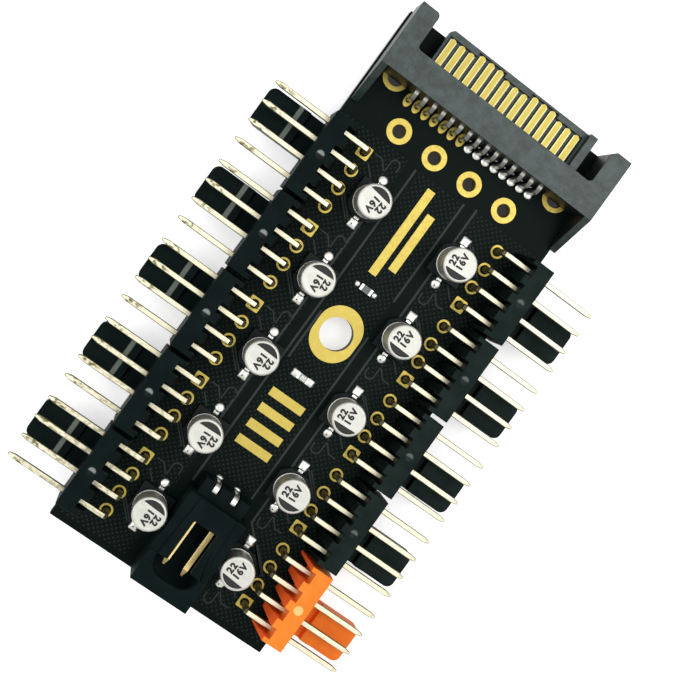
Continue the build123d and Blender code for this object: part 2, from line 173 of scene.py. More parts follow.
# The painted highlight on the left lock walls, a paler band where the ramp reflects light: its soft edge, the
# heights where it fades, and its colours
STRIP_BLUR = 0.05
STRIP_TOP = (2.1, 2.2)
STRIP_COLOURS = ((0.110, 0.135, 0.112), (0.190, 0.215, 0.185))


def moulded(name, dark, light, roughness, specular, grain=0.012, grain_scale=9.0, mottle_scale=0.35,
            painted_side_shade=1.0, strip=None):
    """Moulded plastic: a fine spark-eroded grain, slow shade changes, and small paler scuffs.

    painted_side_shade is the share of the darker colour that upright faces take, as a painted shade. strip is
    a low band of the left lock walls, from one X to another, with a painted highlight: a paler colour.
    """
    n = Nodes(name)
    spot = n.millimetres()
    slow = n.noise(spot, mottle_scale, 3.0)
    fine = n.noise(spot, grain_scale, 3.0, 0.6)
    scuffs = n.noise(n.stretch(spot, 1.0, 5.0, 1.0), 1.7, 4.0, 0.7)
    shade = n.math("ADD", n.span(slow, 0.3, 0.7, 0.0, 0.5), n.span(fine, 0.3, 0.75, 0.0, 0.35))
    shade = n.math("ADD", shade, n.span(scuffs, 0.62, 0.8, 0.0, 0.4))
    colour = n.mix(shade, dark, light)
    # Painted shade: upright faces take a darker colour than faces that look up
    if painted_side_shade < 1.0:
        side_shadow_colour = tuple(painted_side_shade * c for c in dark)
        colour = n.mix(n.span(n.facing()[2], 0.4, 0.9), side_shadow_colour, colour)
    # Painted highlight: a paler band across the lock walls' ramp, standing for the light that it reflects
    if strip is not None:
        x, _, z = n.axes(spot)
        start, end = strip
        highlight_band = n.math("MULTIPLY", n.span(x, start - STRIP_BLUR, start + STRIP_BLUR),
                      n.span(x, end - STRIP_BLUR, end + STRIP_BLUR, 1.0, 0.0))
        highlight_band = n.math("MULTIPLY", highlight_band, n.span(z, *STRIP_TOP, 1.0, 0.0))
        highlight_band = n.math("MULTIPLY", highlight_band, n.span(n.facing()[2], 0.6, 0.8))
        colour = n.mix(highlight_band, colour, n.mix(slow, *STRIP_COLOURS))
    n.set(Base_Color=colour)
    n.set(Roughness=n.span(scuffs, 0.3, 0.8, roughness - 0.06, roughness + 0.1), Specular_IOR_Level=specular)
    n.set(Normal=n.bump(fine, grain))
    return n.material


def metal(name, dark, light, roughness, scale, bump=0.004):
    """Plated or drawn metal: fine and slow changes of tone, and a roughness that varies with them."""
    n = Nodes(name)
    spot = n.millimetres()
    drawn = n.noise(spot, scale, 4.0, 0.6)
    cloud = n.noise(spot, 0.9, 2.0)
    tone = n.math("ADD", n.span(drawn, 0.3, 0.7, 0.0, 0.6), n.span(cloud, 0.35, 0.65, 0.0, 0.4))
    n.set(Base_Color=n.mix(tone, dark, light), Metallic=1.0)
    n.set(Roughness=n.span(drawn, 0.3, 0.7, roughness - 0.07, roughness + 0.09))
    n.set(Normal=n.bump(drawn, bump))
    return n.material


def tinned_pin():
    """Tinned square wire: bright drawn flats, and a painted shade on its edges and sides.

    The left row has dark worn spots at its tips and on its lower pins.
    """
    n = Nodes("tinned_pin")
    spot = n.millimetres()
    drawn = n.noise(n.stretch(spot, 0.35, 5.0, 5.0), 2.2, 4.0, 0.6)
    # Painted shade: faces that look neither up nor down take a much darker colour than the flats
    flat = n.span(n.math("ABSOLUTE", n.facing()[2]), 0.78, 0.98)
    edge = n.mix(n.span(drawn, 0.3, 0.7), (0.11, 0.10, 0.05), (0.21, 0.20, 0.12))
    face = n.mix(n.span(drawn, 0.32, 0.68), (0.60, 0.55, 0.37), (0.80, 0.77, 0.61))
    x, y, _ = n.axes(spot)
    tip = n.math("MULTIPLY", n.span(x, -22.0, -21.8), n.span(x, -20.6, -19.4, 1.0, 0.0))
    lower = n.math("MULTIPLY", n.span(y, -24.0, -6.0, 0.55, 0.0), n.span(x, -10.0, -9.0, 1.0, 0.0))
    spots = n.span(n.noise(n.stretch(spot, 0.6, 1.0, 1.0), 2.6, 2.0), 0.46, 0.62)
    worn = n.math("MULTIPLY", n.math("MAXIMUM", tip, lower), spots)
    face = n.mix(worn, face, (0.16, 0.145, 0.065))
    n.set(Base_Color=n.mix(flat, edge, face), Metallic=1.0)
    n.set(Roughness=n.span(drawn, 0.3, 0.7, 0.38, 0.54), Normal=n.bump(drawn, 0.004))
    return n.material


def contact_strip(name, golds, tin_y, gold_y, bend_y, middle_x, pitch, half):
    """A row of strips along Y: gold past gold_y with a painted highlight at its edges and painted shade on
    its upright faces, tin up to tin_y, painted shade past the bend.

    middle_x, pitch and half give where the strips lie and half their width.
    """
    n = Nodes(name)
    spot = n.millimetres()
    x, y, _ = n.axes(spot)
    rolled = n.noise(n.stretch(spot, 6.0, 0.5, 6.0), 2.4, 4.0, 0.6)
    turn = n.math("FRACT", n.math("ADD", n.math("DIVIDE", n.math("SUBTRACT", x, middle_x), pitch), 0.5))
    off_middle = n.math("MULTIPLY", n.math("ABSOLUTE", n.math("SUBTRACT", turn, 0.5)), pitch)
    gold = n.mix(n.span(rolled, 0.3, 0.7), golds[0], golds[1])
    # Painted highlight: the gold is paler near the edges of each strip
    gold = n.mix(n.span(off_middle, half - 0.17, half - 0.03), gold, golds[2])
    flat = n.span(n.math("ABSOLUTE", n.facing()[2]), 0.4, 0.9)
    # Painted shade: upright faces take a much darker gold
    gold = n.mix(flat, tuple(0.22 * c for c in golds[0]), gold)
    tin = n.mix(n.span(rolled, 0.3, 0.7), (0.78, 0.78, 0.68), (0.94, 0.94, 0.88))
    # Painted shade: the tin turns dark past the bend, on the side away from the gold
    ahead = math.copysign(0.15, gold_y - tin_y)
    tin = n.mix(n.span(y, bend_y - ahead, bend_y + ahead), (0.20, 0.20, 0.18), tin)
    n.set(Base_Color=n.mix(n.span(y, tin_y, gold_y), tin, gold), Metallic=n.span(y, tin_y, gold_y, 0.3, 1.0))
    n.set(Roughness=n.span(y, tin_y, gold_y, 0.22, 0.40), Normal=n.bump(rolled, 0.003))
    return n.material


HATCH_SPACING = 0.508
HATCH_LINE = 0.2


def board_mask():
    """Black solder mask over hatched copper: small pale diamonds between the hatch lines, in three fields."""
    n = Nodes("board_mask")
    spot = n.millimetres()
    x, y, z = n.axes(spot)
    diamonds = None
    for way in ("ADD", "SUBTRACT"):
        across = n.math("DIVIDE", n.math(way, x, y), HATCH_SPACING * math.sqrt(2))
        wave = n.math("ABSOLUTE", n.math("SUBTRACT", n.math("FRACT", across), 0.5))
        stripe = n.span(wave, HATCH_LINE, HATCH_LINE + 0.14)
        diamonds = stripe if diamonds is None else n.math("MINIMUM", diamonds, stripe)
    # One field lies along the board's middle, and one along each row of headers
    side = n.math("ABSOLUTE", x)
    middle = n.span(side, 3.15, 3.25, 1.0, 0.0)
    middle = n.math("MULTIPLY", middle, n.span(n.math("ABSOLUTE", y), 20.7, 20.8, 1.0, 0.0))
    outer = n.math("MULTIPLY", n.span(side, 4.95, 5.05), n.span(side, 14.0, 14.1, 1.0, 0.0))
    outer = n.math("MULTIPLY", outer, n.span(y, -34.7, -34.6))
    outer = n.math("MULTIPLY", outer, n.span(y, 20.9, 21.0, 1.0, 0.0))
    flat_sides = n.span(n.math("ABSOLUTE", n.math("ADD", z, 0.8)), 0.7, 0.79)
    net = n.math("MULTIPLY", n.math("MULTIPLY", diamonds, n.math("MAXIMUM", middle, outer)), flat_sides)
    cloud = n.noise(spot, 0.22, 3.0)
    dust = n.noise(spot, 5.0, 3.0, 0.7)
    ground = n.mix(n.span(cloud, 0.3, 0.7), (0.0022, 0.0058, 0.0046), (0.0042, 0.0088, 0.0074))
    lit = n.mix(net, ground, (0.0155, 0.0228, 0.0210))
    n.set(Base_Color=n.mix(n.span(dust, 0.74, 0.84, 0.0, 0.25), lit, (0.06, 0.065, 0.06)))
    n.set(Roughness=n.span(cloud, 0.3, 0.7, 0.34, 0.46), Specular_IOR_Level=0.04)
    n.set(Normal=n.bump(net, 0.02, 0.7, n.bump(dust, 0.006)))
    return n.material


def orange_plastic():
    """Bright moulded orange, with a painted shade that deepens it towards the board, and a redder tone
    painted on the slopes of the teeth for how light falls there.
    """
    n = Nodes("header_orange")
    spot = n.millimetres()
    x, _, z = n.axes(spot)
    # Painted shade: the orange is darker and deeper in hue lower down, towards the board
    height = n.span(z, 1.0, 5.8)
    cloud = n.noise(spot, 0.5, 3.0)
    fine = n.noise(spot, 9.0, 3.0, 0.6)
    low = n.mix(n.span(cloud, 0.3, 0.7), (0.84, 0.165, 0.016), (0.90, 0.205, 0.022))
    top = n.mix(n.span(cloud, 0.3, 0.7), (0.90, 0.235, 0.025), (0.94, 0.270, 0.033))
    # Painted light: sloping and upright faces of the teeth, short of the block, take a redder tone for how
    # they are lit
    off_slopes = n.math("MAXIMUM", n.span(x, 13.0, 13.3), n.span(n.facing()[2], 0.5, 0.9))
    n.set(Base_Color=n.mix(off_slopes, (0.95, 0.128, 0.022), n.mix(height, low, top)))
    n.set(Roughness=n.span(fine, 0.3, 0.7, 0.42, 0.54), Specular_IOR_Level=0.12)
    n.set(Normal=n.bump(fine, 0.010))
    return n.material


def lens_plastic():
    """The lamp's milky lens, tinted green at the end that marks its polarity."""
    n = Nodes("lamp_lens")
    spot = n.millimetres()
    end = n.span(n.axes(spot)[0], 0.02, 0.22)
    cloud = n.noise(spot, 3.0, 2.0)
    milk = n.mix(n.span(cloud, 0.3, 0.7), (0.70, 0.70, 0.62), (0.82, 0.82, 0.76))
    n.set(Base_Color=n.mix(end, milk, (0.35, 0.55, 0.36)), Roughness=0.3)
    n.set(Subsurface_Weight=0.25, Subsurface_Scale=0.0003)
    n.set(Normal=n.bump(cloud, 0.01))
    return n.material


def dimple(name, dark, glint_colour):
    """An ejector pin's dimple: dark, with a painted highlight on one half of its rim."""
    n = Nodes(name)
    spot = n.millimetres()
    reach = n.node("ShaderNodeVectorMath", {0: spot}, output=1, operation="LENGTH")
    fine = n.noise(spot, 6.0, 3.0, 0.6)
    # Painted highlight: a pale patch on one half of the rim
    painted_glint = n.math("MULTIPLY", n.span(reach, 0.34, 0.54, 1.0, 0.0), n.span(n.axes(spot)[1], -0.10, 0.14))
    painted_glint = n.math("MULTIPLY", painted_glint, n.span(fine, 0.25, 0.6, 0.55, 1.0))
    n.set(Base_Color=n.mix(painted_glint, dark, glint_colour), Roughness=0.32, Specular_IOR_Level=0.1)
    n.set(Normal=n.bump(n.span(reach, 0.0, 0.5), 0.05))
    return n.material


def printed(name, dark, light):
    """A thin and slightly uneven coat: printed ink, mask over a trace, or flux."""
    n = Nodes(name)
    spot = n.millimetres()
    wear = n.noise(spot, 6.0, 4.0, 0.7)
    n.set(Base_Color=n.mix(n.span(wear, 0.35, 0.7), dark, light))
    n.set(Roughness=n.span(wear, 0.3, 0.7, 0.45, 0.65), Specular_IOR_Level=0.3)
    n.set(Normal=n.bump(wear, 0.004))
    return n.material


MATERIALS = {
    "board_mask": board_mask(),
    "plug_plastic": moulded("plug_plastic", (0.010, 0.018, 0.015), (0.060, 0.092, 0.086), 0.42, 0.45,
                            grain=0.016, grain_scale=7.0, mottle_scale=1.1, painted_side_shade=0.35),
    "header_black": moulded("header_black", (0.0018, 0.0056, 0.0056), (0.0060, 0.0122, 0.0119), 0.52, 0.04,
                            strip=(-18.6, -18.05)),
    "header_orange": orange_plastic(),
    "gold_contact": metal("gold_contact", (0.44, 0.335, 0.070), (0.50, 0.400, 0.102), 0.42,
                          scale=2.0, bump=0.001),
    "tinned_pin": tinned_pin(),
    "can_aluminium": metal("can_aluminium", (0.50, 0.50, 0.455), (0.585, 0.585, 0.54), 0.52, scale=3.0),
    "base_black": moulded("base_black", (0.004, 0.007, 0.007), (0.012, 0.017, 0.017), 0.5, 0.12),
    "solder_tin": metal("solder_tin", (0.58, 0.58, 0.53), (0.78, 0.78, 0.74), 0.36, scale=3.5, bump=0.012),
    "resistor_body": moulded("resistor_body", (0.10, 0.12, 0.11), (0.30, 0.33, 0.31), 0.35, 0.3,
                             grain_scale=5.0),
    "lamp_lens": lens_plastic(),
}
# The darker and lighter gold of a flat, and the paler gold of its edges, which is a painted highlight
BLADE_GOLDS = ((0.30, 0.240, 0.053), (0.39, 0.325, 0.086), (0.58, 0.54, 0.29))
# The two-pin pins' gold is much lighter than the blades': painted light that lifts the shade in the header's
# window
LIT_PIN_GOLDS = ((0.72, 0.53, 0.19), (0.88, 0.69, 0.30), (0.92, 0.76, 0.40))
NODE_MATERIALS = {
    "power_plug_contacts": contact_strip("plug_contact", BLADE_GOLDS, tin_y=29.0, gold_y=30.0, bend_y=27.0,
                                         middle_x=PLUG_MIDDLE_X, pitch=CONTACT_PITCH, half=0.42),
    "two_pin_pins": contact_strip("two_pin_contact", LIT_PIN_GOLDS, tin_y=-23.5, gold_y=-24.5,
                                  bend_y=TWO_PIN_TAIL_Y, middle_x=TWO_PIN_XS[0], pitch=TWO_PIN_PITCH,
                                  half=PIN_HALF),
}
# The black headers of the right row are a greyer, lighter and more mottled copy of the left row's black: a
# painted sheen for the light on their tops
SHEENED_RIGHT_BLACK = moulded("header_black_right_sheen", (0.0052, 0.0112, 0.0098), (0.0170, 0.0285, 0.0262), 0.52, 0.04,
                      painted_side_shade=0.6)
for i in range(1, HEADERS_PER_ROW):
    NODE_MATERIALS[f"fan_header_housing_right_{i}"] = SHEENED_RIGHT_BLACK
TRACE_MASK = printed("mask_over_trace", (0.0120, 0.0190, 0.0168), (0.0200, 0.0285, 0.0262))
BRANCH_MASK = printed("mask_over_branch", (0.0062, 0.0112, 0.0096), (0.0115, 0.0178, 0.0160))
FLUX_BROWN = printed("flux", (0.035, 0.022, 0.014), (0.070, 0.048, 0.032))
PRINT_BLACK = printed("can_print", (0.010, 0.010, 0.010), (0.030, 0.030, 0.028))
# Ejector marks: the dimple's dark colour and the colour of its painted highlight
MARK_MATERIALS = {
    "left": dimple("ejector_mark_left", (0.003, 0.006, 0.006), (0.30, 0.33, 0.30)),
    "right": dimple("ejector_mark_right", (0.005, 0.010, 0.010), (0.12, 0.15, 0.13)),
}
# The orange header's mark: a paler cream disc, a painted sheen of its glossy dimple
MARK_CREAM = moulded("ejector_mark_cream", (0.90, 0.52, 0.16), (0.98, 0.68, 0.26), 0.4, 0.4)


def box_mm(node):
    """A node's lowest and highest corners in millimetres."""
    low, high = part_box(node)
    return low / MM, high / MM


def finished_mesh(name, bm, smooth_angle=None):
    """Turn a form drawn in millimetres into a mesh in metres, smooth up to an angle if one is given."""
    mesh = bpy.data.meshes.new(name)
    bmesh.ops.recalc_face_normals(bm, faces=bm.faces)
    bmesh.ops.scale(bm, vec=(MM, MM, MM), verts=bm.verts)
    bm.to_mesh(mesh)
    bm.free()
    if smooth_angle is not None:
        mesh.shade_smooth()
        mesh.set_sharp_from_angle(angle=smooth_angle)
    return mesh


def piece(name, bm, material, smooth_angle=0.6):
    """Turn a form drawn in millimetres into a piece that rides on the board."""
    mesh = finished_mesh(name, bm, smooth_angle)
    mesh.materials.append(material)
    placed(name, mesh, Matrix.Identity(4))


def placed(name, mesh, place):
    """An object for a mesh, at a place given in metres."""
    obj = bpy.data.objects.new(name, mesh)
    bpy.context.scene.collection.objects.link(obj)
    obj.matrix_world = place
    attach(obj, "root")
    return obj


def skin(bm, loops, closed=False):
    """A skin through loops of equal length: closed on itself, or with a flat cap at each end."""
    rings = [[bm.verts.new(p) for p in loop] for loop in loops]
    pairs = list(zip(rings, rings[1:]))
    if closed:
        pairs.append((rings[-1], rings[0]))
    for a, b in pairs:
        for i in range(len(a)):
            j = (i + 1) % len(a)
            bm.faces.new((a[i], a[j], b[j], b[i]))
    if not closed:
        bm.faces.new(rings[0])
        bm.faces.new(rings[-1])


def round_loop(x, y, z, rx, ry=None, count=ROUND):
    """A circle or oval."""
    ry = rx if ry is None else ry
    turns = [2 * math.pi * i / count for i in range(count)]
    return [(x + rx * math.cos(t), y + ry * math.sin(t), z) for t in turns]


def square_loop(x, y, z, half, corner=0.05, count=ROUND):
    """A square with eased corners, with its points spread as on a circle."""
    points = []
    for i in range(count):
        t = 2 * math.pi * i / count
        c, s = math.cos(t), math.sin(t)
        reach = min(half / max(abs(c), abs(s)), half * math.sqrt(2) - corner)
        points.append((x + reach * c, y + reach * s, z))
    return points


def stadium_loop(x, y, z, half_x, half_y, count=ROUND):
    """Two half circles joined by straight sides, longer along Y."""
    points = []
    for i in range(count):
        t = 2 * math.pi * i / count
        shift = math.copysign(half_y - half_x, math.sin(t))
        points.append((x + half_x * math.cos(t), y + shift + half_x * math.sin(t), z))
    return points


def plated_ring(bm, outer, hole, x, y, top=True):
    """A raised ring of plating round a hole: outer(z) and hole give its two edges."""
    face, out = (BOARD_TOP, 1) if top else (BOARD_BOTTOM, -1)
    low = face - out * SUNK
    high = face + out * PLATING
    loops = [outer(low), outer(high), round_loop(x, y, high, hole), round_loop(x, y, low, hole)]
    skin(bm, loops, closed=True)


def bar(bm, points, width, z0, z1):
    """A flat ribbon of constant width along a line of points, with mitred bends."""
    left, right = [], []
    for i, p in enumerate(points):
        before = Vector(p) - Vector(points[i - 1]) if i > 0 else Vector(points[1]) - Vector(p)
        after = Vector(points[i + 1]) - Vector(p) if i + 1 < len(points) else before
        way = (before.normalized() + after.normalized()).normalized()
        reach = width / 2 / max(0.3, way.dot(after.normalized()))
        normal = Vector((-way.y, way.x)) * reach
        left.append(Vector(p) + normal)
        right.append(Vector(p) - normal)
    rows = []
    for a, b in zip(left, right):
        rows.append([(a.x, a.y, z0), (a.x, a.y, z1), (b.x, b.y, z1), (b.x, b.y, z0)])
    skin(bm, rows)


# Places of the soldered tails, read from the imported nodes
fan_tails = []
for row, i in HEADER_PLACES:
    low, high = box_mm(f"fan_header_pins_{row}_{i}")
    x = high.x - PIN_HALF if row == "left" else low.x + PIN_HALF
    middle_y = (low.y + high.y) / 2
    first = FAN_PIN_OFFSETS[-1] if row == "left" else FAN_PIN_OFFSETS[0]
    for offset in FAN_PIN_OFFSETS:
        fan_tails.append((x, middle_y + offset, offset == first))
plug_tails = [(x, CONTACT_TAIL_Y) for x in CONTACT_XS]
two_pin_tails = [(x, TWO_PIN_TAIL_Y) for x in TWO_PIN_XS]
capacitors = []
for row, i in HEADER_PLACES:
    low, high = box_mm(f"capacitor_can_{row}_{i}")
    capacitors.append((f"{row}_{i}", row, (low.x + high.x) / 2, (low.y + high.y) / 2))


def capacitor_pads(row, y):
    """Which way a capacitor points along Y, and where its square and its round pad lie."""
    out = 1 if row == "right" else -1
    return out, y + out * SQUARE_PAD_OFFSET, y - out * ROUND_PAD_OFFSET


# Gold plating on both faces: pin pads, bare holes with plated barrels, and the mounting land
PIN_PAD_RADIUS = 0.80
PIN_PAD_HOLE = 0.56
PLUG_PAD_HALF = (0.5, 0.85)
PLUG_PAD_HOLE = 0.33
GOLD_PLUG_PADS = 7
LOCATING_PAD_RADIUS = 1.6
MOUNT_LAND_HALF = (2.8, 3.47)
BARE_PAD_RADIUS = 1.5
BARREL_RADIUS = BARE_HOLE_RADIUS - 0.03


def bare_hole_profile():
    """The plated section of a bare hole, as radii and heights: two pads joined by a thin barrel."""
    top = BOARD_TOP + PLATING
    bottom = BOARD_BOTTOM - PLATING
    sunk_top = top - SUNK - PLATING
    sunk_bottom = bottom + SUNK + PLATING
    pad = BARE_PAD_RADIUS
    rim = pad - 0.01
    mouth = BARREL_RADIUS + 0.06
    outside = BARREL_RADIUS + 0.02
    upper = [(pad, sunk_top), (pad, top - 0.01), (rim, top), (mouth, top)]
    barrel = [(BARREL_RADIUS, top - 0.05), (BARREL_RADIUS, bottom + 0.05)]
    lower = [(mouth, bottom), (rim, bottom), (pad, bottom + 0.01), (pad, sunk_bottom)]
    return upper + barrel + lower + [(outside, sunk_bottom), (outside, sunk_top)]


bm = bmesh.new()
for x, y, square in fan_tails:
    shape = square_loop if square else round_loop
    for top in (True, False):
        plated_ring(bm, lambda z: shape(x, y, z, PIN_PAD_RADIUS), PIN_PAD_HOLE, x, y, top)
for x, y in two_pin_tails:
    plated_ring(bm, lambda z: round_loop(x, y, z, PIN_PAD_RADIUS), PIN_PAD_HOLE, x, y, False)
for x in BARE_HOLE_XS:
    skin(bm, [round_loop(x, BARE_HOLE_Y, z, r) for r, z in bare_hole_profile()], closed=True)
for x in LOCATING_XS:
    for top in (True, False):
        plated_ring(bm, lambda z: round_loop(x, LOCATING_Y, z, LOCATING_PAD_RADIUS), LOCATING_RADIUS,
                    x, LOCATING_Y, top)
for top in (True, False):
    plated_ring(bm, lambda z: stadium_loop(0, 0, z, *MOUNT_LAND_HALF), MOUNT_RADIUS, 0, 0, top)
for i, (x, y) in enumerate(plug_tails):
    if i < GOLD_PLUG_PADS:
        plated_ring(bm, lambda z: round_loop(x, y, z, *PLUG_PAD_HALF), PLUG_PAD_HOLE, x, y)
piece("gold_plating", bm, MATERIALS["gold_contact"])

# Plain gold bars on the mask
BAR_TOP = BOARD_TOP + PLATING
LONG_BAR_WIDTH = 1.05
SHORT_BAR_WIDTH = 1.1
bm = bmesh.new()
for x, y0, y1 in ((-0.75, 8.0, 19.8), (0.95, 9.6, 17.4)):
    bar(bm, [(x, y0), (x, y1)], LONG_BAR_WIDTH, -SUNK, BAR_TOP)
for y in (-9.6, -11.8, -14.0, -16.2):
    bar(bm, [(-2.4, y), (2.2, y)], SHORT_BAR_WIDTH, -SUNK, BAR_TOP)
piece("gold_bars", bm, MATERIALS["gold_contact"])


def mound(bm, x, y, foot, height, lean=(0.0, 0.0)):
    """A rounded drop of solder on a foot outline, its crest moved over by lean."""
    loops = []
    for share, z in ((1.0, -SUNK), (1.0, 0.03), (0.93, 0.35 * height), (0.78, 0.68 * height),
                     (0.55, 0.9 * height), (0.25, height)):
        over_x = lean[0] * (1 - share)
        over_y = lean[1] * (1 - share)
        loops.append([(x + (px - x) * share + over_x, y + (py - y) * share + over_y, z)
                      for px, py, _ in foot])
    skin(bm, loops)


def fillet_round_tail(bm, x, y, rx, ry, climb):
    """The concave cone of solder round a tail on the underside."""
    loops = []
    profile = [(1.0, -SUNK), (1.0, 0.05), (0.86, 0.16)]
    profile += [(0.70, 0.33 * climb), (0.58, 0.6 * climb), (0.50, climb)]
    for share, down in profile:
        loops.append(round_loop(x, y, BOARD_BOTTOM - down, rx * share, ry * share, 24))
    skin(bm, loops)


# Solder: underside cones, the plug's tinned tails, capacitor leads and chip ends. A cone is given by its two
# half widths and its height.
PIN_CONE = (0.70, 0.70, 0.95)
PLUG_CONE = (0.50, 0.66, 0.85)
bm = bmesh.new()
for x, y in [tail[:2] for tail in fan_tails] + two_pin_tails:
    fillet_round_tail(bm, x, y, *PIN_CONE)
for x, y in plug_tails:
    fillet_round_tail(bm, x, y, *PLUG_CONE)
piece("underside_solder", bm, MATERIALS["solder_tin"], 1.2)

bm = bmesh.new()
for i, (x, y) in enumerate(plug_tails):
    if i >= GOLD_PLUG_PADS:
        mound(bm, x, y - 0.3, round_loop(x, y - 0.3, 0, 0.52, 0.5, 24), 0.15)
        mound(bm, x - 0.3, y + 0.6, round_loop(x - 0.3, y + 0.6, 0, 0.17, 0.13, 16), 0.12)
for x, y in two_pin_tails:
    mound(bm, x, y + 0.5, round_loop(x, y + 0.5, 0, 0.5, 0.28, 24), 0.3)
for _, row, x, y in capacitors:
    out, square_y, round_y = capacitor_pads(row, y)
    mound(bm, x, square_y, square_loop(x, square_y, 0, CAP_PAD_HALF, 0.06, 32), 0.26, (0, -0.35 * out))
    mound(bm, x, round_y, round_loop(x, round_y, 0, CAP_PAD_HALF, count=32), 0.26, (0, 0.3 * out))
for node, clear, half in (("chip_resistor_ends", 0.42, 0.34), ("chip_lamp_ends", 0.25, 0.5)):
    low, high = box_mm(node)
    middle_y = (low.y + high.y) / 2
    for x, lean in ((low.x - clear, 0.3), (high.x + clear, -0.3)):
        mound(bm, x, middle_y, square_loop(x, middle_y, 0, half, 0.1, 32), 0.24, (lean * half, 0))
piece("surface_solder", bm, MATERIALS["solder_tin"], 1.2)

# A dark bead of flux on each capacitor's lower pad
bm = bmesh.new()
for _, _, x, y in capacitors:
    bead_x, bead_y = x - 0.1, y - 3.15
    mound(bm, bead_x, bead_y, round_loop(bead_x, bead_y, 0, 0.15, count=16), 0.28)
piece("flux_beads", bm, FLUX_BROWN, 1.2)

# Traces under the mask, on the component side and on the underside
TRACE_WIDTH = 0.26
BRANCH_WIDTH = 0.17
TRACE_HEIGHT = 0.03
UNDERSIDE_TRACE_WIDTH = 0.9
bm = bmesh.new()
trunks = [
    [(3.22, 20.8), (3.22, 6.9)],
    [(3.22, 1.9), (3.22, -21.2)],
    [(4.85, 21.2), (4.85, -23.4), (9.4, -27.95)],
    [(-3.65, 20.6), (-3.65, -23.2)],
    [(-3.02, 1.2), (-3.02, -5.3)],
    [(-5.25, 12.6), (-5.25, -20.6)],
]
# Branches by each capacitor, as steps away from its round pad
BRANCH_LOOP = ((0.5, 0.5), (0.5, 2.4), (0.2, 2.8), (-0.35, 2.8), (-0.65, 2.4), (-0.65, 1.7))
BRANCH_BEND = ((0.45, 0.75), (1.5, 1.95), (2.5, 1.95))
BRANCH_SLANT = ((1.3, -0.65), (2.5, 0.55))
branches = []
for _, row, x, y in capacitors:
    out, square_y, round_y = capacitor_pads(row, y)
    for shape in (BRANCH_LOOP, BRANCH_BEND, BRANCH_SLANT):
        branches.append([(x + out * a, round_y - out * b) for a, b in shape])
    for shift in (0.0, 0.42):
        start = (x + out * (0.55 + shift), square_y + out * 0.1)
        end = (x + out * (3.3 + shift), square_y - out * 2.65)
        branches.append([start, end])
for line in trunks:
    bar(bm, line, TRACE_WIDTH, -SUNK, BOARD_TOP + TRACE_HEIGHT)
for x in (-12.9, -4.2, 4.2, 12.9):
    bar(bm, [(x, -33.5), (x, 21.5)], UNDERSIDE_TRACE_WIDTH, BOARD_BOTTOM - TRACE_HEIGHT, BOARD_BOTTOM + SUNK)
piece("board_traces", bm, TRACE_MASK)

bm = bmesh.new()
for line in branches:
    bar(bm, line, BRANCH_WIDTH, -SUNK, BOARD_TOP + TRACE_HEIGHT)
piece("board_branches", bm, BRANCH_MASK)

# Ejector marks on the fan headers' top faces
MARK_RADIUS = 0.55
MARK_X = 14.0
MARK_PROFILE = ((MARK_RADIUS, -SUNK), (MARK_RADIUS, 0.001), (MARK_RADIUS - 0.03, 0.003))
bm = bmesh.new()
skin(bm, [round_loop(0, 0, z, r) for r, z in MARK_PROFILE])
mark_form = finished_mesh("ejector_mark", bm)
for row, i in HEADER_PLACES:
    low, high = box_mm(f"fan_header_housing_{row}_{i}")
    place = Vector((MARK_X if row == "right" else -MARK_X, (low.y + high.y) / 2, HEADER_TOP)) * MM
    orange = (row, i) == ("right", HEADERS_PER_ROW)
    mesh = mark_form.copy()
    mesh.materials.append(MARK_CREAM if orange else MARK_MATERIALS[row])
    slot = "header_orange" if orange else "header_black"
    placed(f"ejector_mark_{row}_{i}", mesh, Matrix.Translation(place))


def can_mesh():
    """A drawn can: rolled in over its base, a crimp groove, a straight wall and a rounded top edge."""
    bm = bmesh.new()
    rolled_in = ((1.70, 0.0), (1.86, 0.06), (1.94, 0.22), (1.92, 0.42))
    profile = [(r, CAP_BASE_TOP + up) for r, up in rolled_in]
    groove_middle = CAP_BASE_TOP + 0.72
    shoulder, groove_depth, groove_half = 1.97, 0.17, 0.24
    for i in range(9):
        t = math.pi * i / 8
        profile.append((shoulder - groove_depth * math.sin(t), groove_middle - groove_half * math.cos(t)))
    edge, dish = 0.28, 0.012
    for i in range(9):
        t = math.pi / 2 * i / 8
        profile.append((CAP_RADIUS - edge + edge * math.cos(t), CAP_TOP - edge + edge * math.sin(t)))
    profile.append((1.62, CAP_TOP - dish))
    profile.append((1.2, CAP_TOP - dish))
    skin(bm, [round_loop(0, 0, z, r, count=64) for r, z in profile])
    mesh = finished_mesh("capacitor_can", bm, 0.9)
    mesh.materials.append(MATERIALS["can_aluminium"])
    return mesh


def text_mesh(words, size, x, y, turn):
    """Flat printed characters as a thin closed mesh, in millimetres, centred on a spot of the XY plane."""
    curve = bpy.data.curves.new("words", "FONT")
    curve.body = words
    curve.size = size
    curve.align_x = "CENTER"
    curve.align_y = "CENTER"
    curve.extrude = 0.006
    curve.offset = 0.062
    curve.space_character = 1.2
    curve.resolution_u = 4
    obj = bpy.data.objects.new("words", curve)
    bpy.context.scene.collection.objects.link(obj)
    bpy.context.view_layer.update()
    mesh = bpy.data.meshes.new_from_object(obj.evaluated_get(bpy.context.evaluated_depsgraph_get()))
    bpy.data.objects.remove(obj)
    bpy.data.curves.remove(curve)
    mesh.transform(Matrix.Translation((x, y, CAP_TOP)) @ Matrix.Rotation(turn, 4, "Z"))
    return mesh


